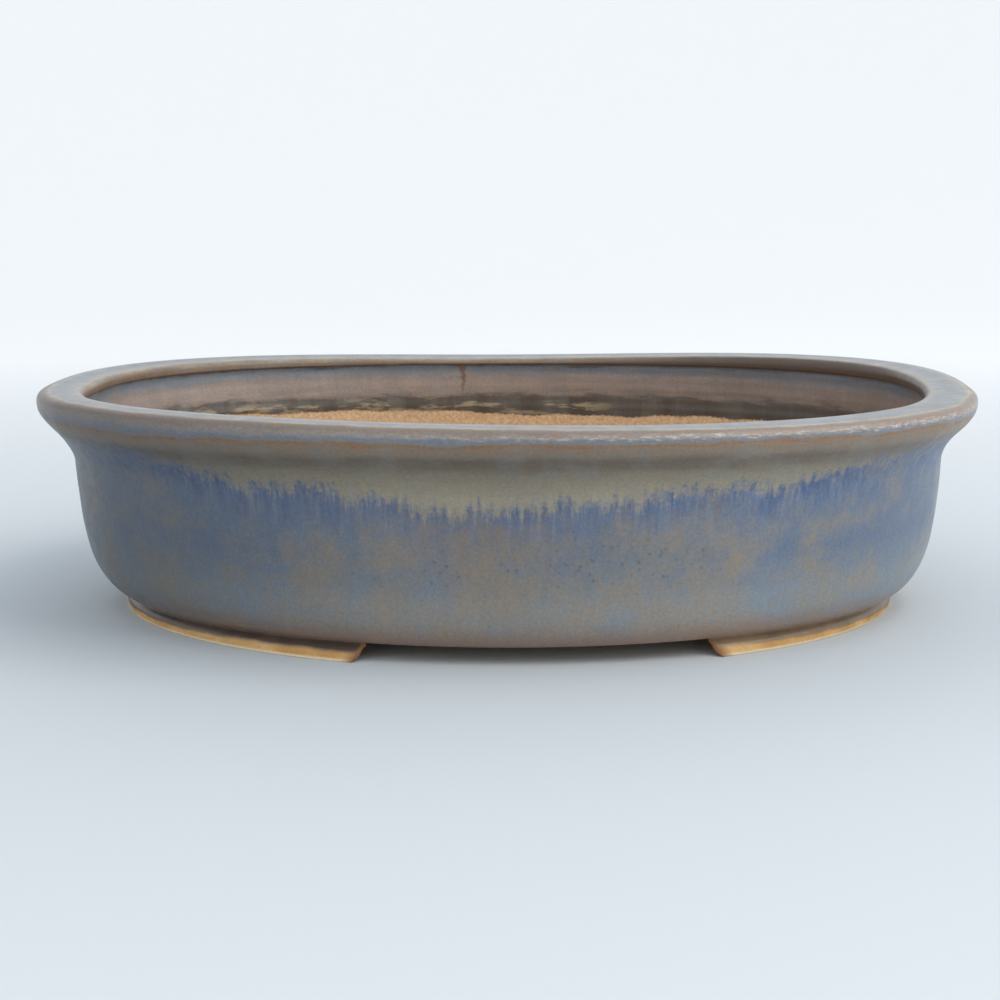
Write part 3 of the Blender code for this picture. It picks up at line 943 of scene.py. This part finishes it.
# %% [markdown]
# ## Bare stoneware
# The floor is the clay itself: iron-bearing stoneware, smoothed with a rib and fired without
# glaze. To the eye it is matt and tan, with coarse grains of grog standing in it and slow
# changes of tone where the flame licked it. It uses the same colours as the bare clay of the
# wall, so that the two meet without a line.

# %% Make the bare clay
clay, tree, shader = new_finish("bare_stoneware_ribbed")
spot = node(tree, "TexCoord", {}, "Object")
sand = node(tree, "TexNoise", {"Vector": spot, "Scale": cells(1.4), "Detail": 4, "Roughness": 0.75})
cloud = node(tree, "TexNoise", {"Vector": spot, "Scale": cells(25), "Detail": 4, "Roughness": 0.6})
bare = node(tree, "ValToRGB", {"Fac": sand}, stops=CLAY_STOPS)
tone = node(tree, "MapRange", {"Value": cloud, **NOISE, "To Min": 0.92, "To Max": 1.06})
colour = node(tree, "VectorMath", {0: bare, "Scale": tone}, operation="SCALE")
tree.links.new(colour, shader.inputs["Base Color"])
shader.inputs["Roughness"].default_value = 0.85
grog = node(tree, "Bump", {"Height": sand, "Strength": 0.6, "Distance": 0.2 * MM})
tree.links.new(grog, shader.inputs["Normal"])
floor.data.materials.clear()
floor.data.materials.append(clay)
print(clay.name, "has", len(tree.nodes), "nodes")

# %% [markdown]
# ## The wiped feet
# Above the wiped line the feet keep a thin glaze, which is amber on the right foot and dark
# brown on the left one, partly painted shade of the recess under the body. Below it the clay
# is tan, with a pale arris at the ground where the sponge rubbed it smooth. The cut ends are
# bare, and painted dark as shade, since they face the dark gap under the pot.

# %% Clay and glaze of the feet
foot_finish, tree, shader = new_finish("wiped_stoneware_foot")
spot = node(tree, "TexCoord", {}, "Object")
side = node(tree, "SeparateXYZ", {"Vector": spot}, "X")
height = node(tree, "SeparateXYZ", {"Vector": spot}, "Z")
above_wiped = node(tree, "Attribute", {}, "Fac", attribute_name="above_wiped")
outer_face = node(tree, "Attribute", {}, "Fac", attribute_name="outer_face")
from_cut = node(tree, "Attribute", {}, "Fac", attribute_name="from_cut")
sand = node(tree, "TexNoise", {"Vector": spot, "Scale": cells(1.1), "Detail": 3, "Roughness": 0.7})
cloud = node(tree, "TexNoise", {"Vector": spot, "Scale": cells(14), "Detail": 4, "Roughness": 0.6})

tan = node(tree, "ValToRGB", {"Fac": cloud},
           stops=[(0.35, "#b98c55"), (0.5, "#c99d61"), (0.65, "#d6ae78")])
arris = node(tree, "MapRange", {"Value": height, "From Min": 1.3 * MM, "From Max": 0.6 * MM})
tan = node(tree, "MixRGB", {"Fac": arris, "Color1": tan, "Color2": linear("#e2cfae")})
# Painted shade: the cut ends darken, as they face the dark gap under the pot.
painted_shade_on_cut_ends = node(tree, "MapRange", {"Value": from_cut, "From Min": 5, "From Max": 0.6})
tan = node(tree, "MixRGB", {"Fac": painted_shade_on_cut_ends, "Color1": tan, "Color2": linear("#8a5f3c")})
# Partly painted shade: the left foot's glaze band is dark brown, as the recess under the body shades
# it.
brown = node(tree, "ValToRGB", {"Fac": cloud}, stops=[(0.35, "#4a3e38"), (0.65, "#625146")])
amber = node(tree, "ValToRGB", {"Fac": cloud}, stops=[(0.35, "#766350"), (0.65, "#937d60")])
to_right = node(tree, "MapRange", {"Value": side, "From Min": -50 * MM, "From Max": 50 * MM})
coat = node(tree, "MixRGB", {"Fac": to_right, "Color1": brown, "Color2": amber})

wavy = node(tree, "MapRange", {"Value": sand, **NOISE, "To Min": -0.2, "To Max": 0.2})
wiped = node(tree, "Math", {0: above_wiped, 1: wavy}, operation="ADD")
glazed = node(tree, "MapRange", {"Value": wiped, "From Min": -0.6, "From Max": 0.6})
bare_end = node(tree, "MapRange", {"Value": from_cut, "From Min": 0.8, "From Max": 1.6})
glazed = node(tree, "Math", {0: glazed, 1: outer_face}, operation="MULTIPLY")
glazed = node(tree, "Math", {0: glazed, 1: bare_end}, operation="MULTIPLY")
colour = node(tree, "MixRGB", {"Fac": glazed, "Color1": tan, "Color2": coat})
tone = node(tree, "MapRange", {"Value": sand, **NOISE, "To Min": 0.9, "To Max": 1.1})
colour = node(tree, "VectorMath", {0: colour, "Scale": tone}, operation="SCALE")
tree.links.new(colour, shader.inputs["Base Color"])
roughness = node(tree, "MapRange", {"Value": glazed, "To Min": 0.75, "To Max": 0.3})
tree.links.new(roughness, shader.inputs["Roughness"])
grog = node(tree, "Bump", {"Height": sand, "Strength": 0.4, "Distance": 0.12 * MM})
tree.links.new(grog, shader.inputs["Normal"])
for item in (left_foot, right_foot):
    item.data.materials.append(foot_finish)
print(foot_finish.name, "has", len(tree.nodes), "nodes")

# %% [markdown]
# ## Stage
# The pot stands in a wide dish of pale matt paper whose edge curves up all round, so there is
# no horizon from any side.

# %% Make the stage
STAGE_FLAT, STAGE_BEND, STAGE_TOP = 1.4, 1.5, 3.2
STAGE_SIDES = 128
bend = np.linspace(0, math.pi / 2, 28)
profile = np.vstack([
    [(0.05, 0), (0.5, 0), (STAGE_FLAT, 0)],
    np.stack([STAGE_FLAT + STAGE_BEND * np.sin(bend), STAGE_BEND * (1 - np.cos(bend))], axis=-1)[1:],
    [(STAGE_FLAT + STAGE_BEND, STAGE_TOP)],
])
around = 2 * math.pi * np.arange(STAGE_SIDES) / STAGE_SIDES
rings = np.stack([profile[:, :1] * np.cos(around), profile[:, :1] * np.sin(around),
                  np.broadcast_to(profile[:, 1:], (len(profile), STAGE_SIDES))], axis=-1)
stage_mesh = bpy.data.meshes.new("stage")
faces = grid_faces(len(profile), STAGE_SIDES, False, True)[:, ::-1].tolist()
stage_mesh.from_pydata(rings.reshape(-1, 3).tolist(), [], faces + [list(range(STAGE_SIDES))])
stage_mesh.shade_smooth()
stage = bpy.data.objects.new("stage", stage_mesh)
bpy.context.scene.collection.objects.link(stage)
print("stage:", round(2 * (STAGE_FLAT + STAGE_BEND), 1), "m across,", len(faces) + 1, "faces")

# %% [markdown]
# ## Matt paper
# The stage is uncoated paper, so it is matt, with almost no highlight. Its far part glows a
# little, as a backdrop does that has a lamp of its own, and so it stays pale out to the edge.

# %% Make the paper
paper, tree, shader = new_finish("matt_paper")
GLOW_FROM, GLOW_FULL, GLOW_STRENGTH = 0.2, 1.0, 0.335
shader.inputs["Base Color"].default_value = linear("#ced5da")
place_on_stage = node(tree, "TexCoord", {}, "Object")
reach = node(tree, "VectorMath", {0: place_on_stage}, "Value", operation="LENGTH")
glow = node(tree, "MapRange", {"Value": reach, "From Min": GLOW_FROM, "From Max": GLOW_FULL,
                               "To Max": GLOW_STRENGTH})
tree.links.new(glow, shader.inputs["Emission Strength"])
shader.inputs["Emission Color"].default_value = linear("#fff7f1")
shader.inputs["Roughness"].default_value = 0.9
shader.inputs["Specular IOR Level"].default_value = 0.1
stage_mesh.materials.append(paper)
print("paper glows from", GLOW_FROM, "to", GLOW_FULL, "m out")

# %% [markdown]
# ## Light
# Pale daylight comes from all round, from a plain coloured world. An area light stands for a
# large window at the right, which makes the left end of the pot the darker one. It is large,
# so that shadows are soft and the glaze gets a broad sheen instead of a spot.

# %% Light the pot
world = bpy.data.worlds.new("daylight")
bpy.context.scene.world = world
world.use_nodes = True
world.node_tree.nodes["Background"].inputs["Color"].default_value = linear("#eef4fa")
world.node_tree.nodes["Background"].inputs["Strength"].default_value = 0.86


def add_window(name, place, aim, size, power, colour):
    """A square area light at a place, turned to face a point."""
    light = bpy.data.lights.new(name, "AREA")
    light.size = size
    light.energy = power
    light.color = linear(colour)[:3]
    item = bpy.data.objects.new(name, light)
    item.location = place
    item.rotation_mode = "QUATERNION"
    item.rotation_quaternion = (Vector(aim) - Vector(place)).to_track_quat("-Z", "Y")
    bpy.context.scene.collection.objects.link(item)


WINDOW_POWER = 12.5
add_window("right_window", (1.0, -0.45, 1.3), (0, 0, 0.05), 1.3, WINDOW_POWER, "#fffaf4")
print("window of", WINDOW_POWER, "W at the right")

# %% [markdown]
# ## Camera
# The camera looks along the pot's short side from a little above, about 80 cm away, as
# someone does who sits at the table with it. The lens is a fairly long one, so the near side
# looks little larger than the far one.

# %% Place the camera
AZIMUTH = math.radians(2.083)
ELEVATION = math.radians(9.846)
ROLL = -0.00336
DISTANCE = 0.8
level = math.cos(ELEVATION)
back = Vector((math.sin(AZIMUTH) * level, -math.cos(AZIMUTH) * level, math.sin(ELEVATION)))
lens = bpy.data.cameras.new("camera")
lens.sensor_width = 36
lens.lens = 70.75
lens.shift_x = -0.00732
lens.shift_y = -0.01134
camera = bpy.data.objects.new("camera", lens)
camera.location = Vector((0, 0, HEIGHT / 2)) + back * DISTANCE
camera.rotation_mode = "QUATERNION"
camera.rotation_quaternion = (-back).to_track_quat("-Z", "Y") @ Quaternion((0, 0, 1), ROLL)
bpy.context.scene.collection.objects.link(camera)
bpy.context.scene.camera = camera
bpy.context.scene.view_settings.view_transform = "Standard"
print("camera at", [round(metres, 3) for metres in camera.location], "m")
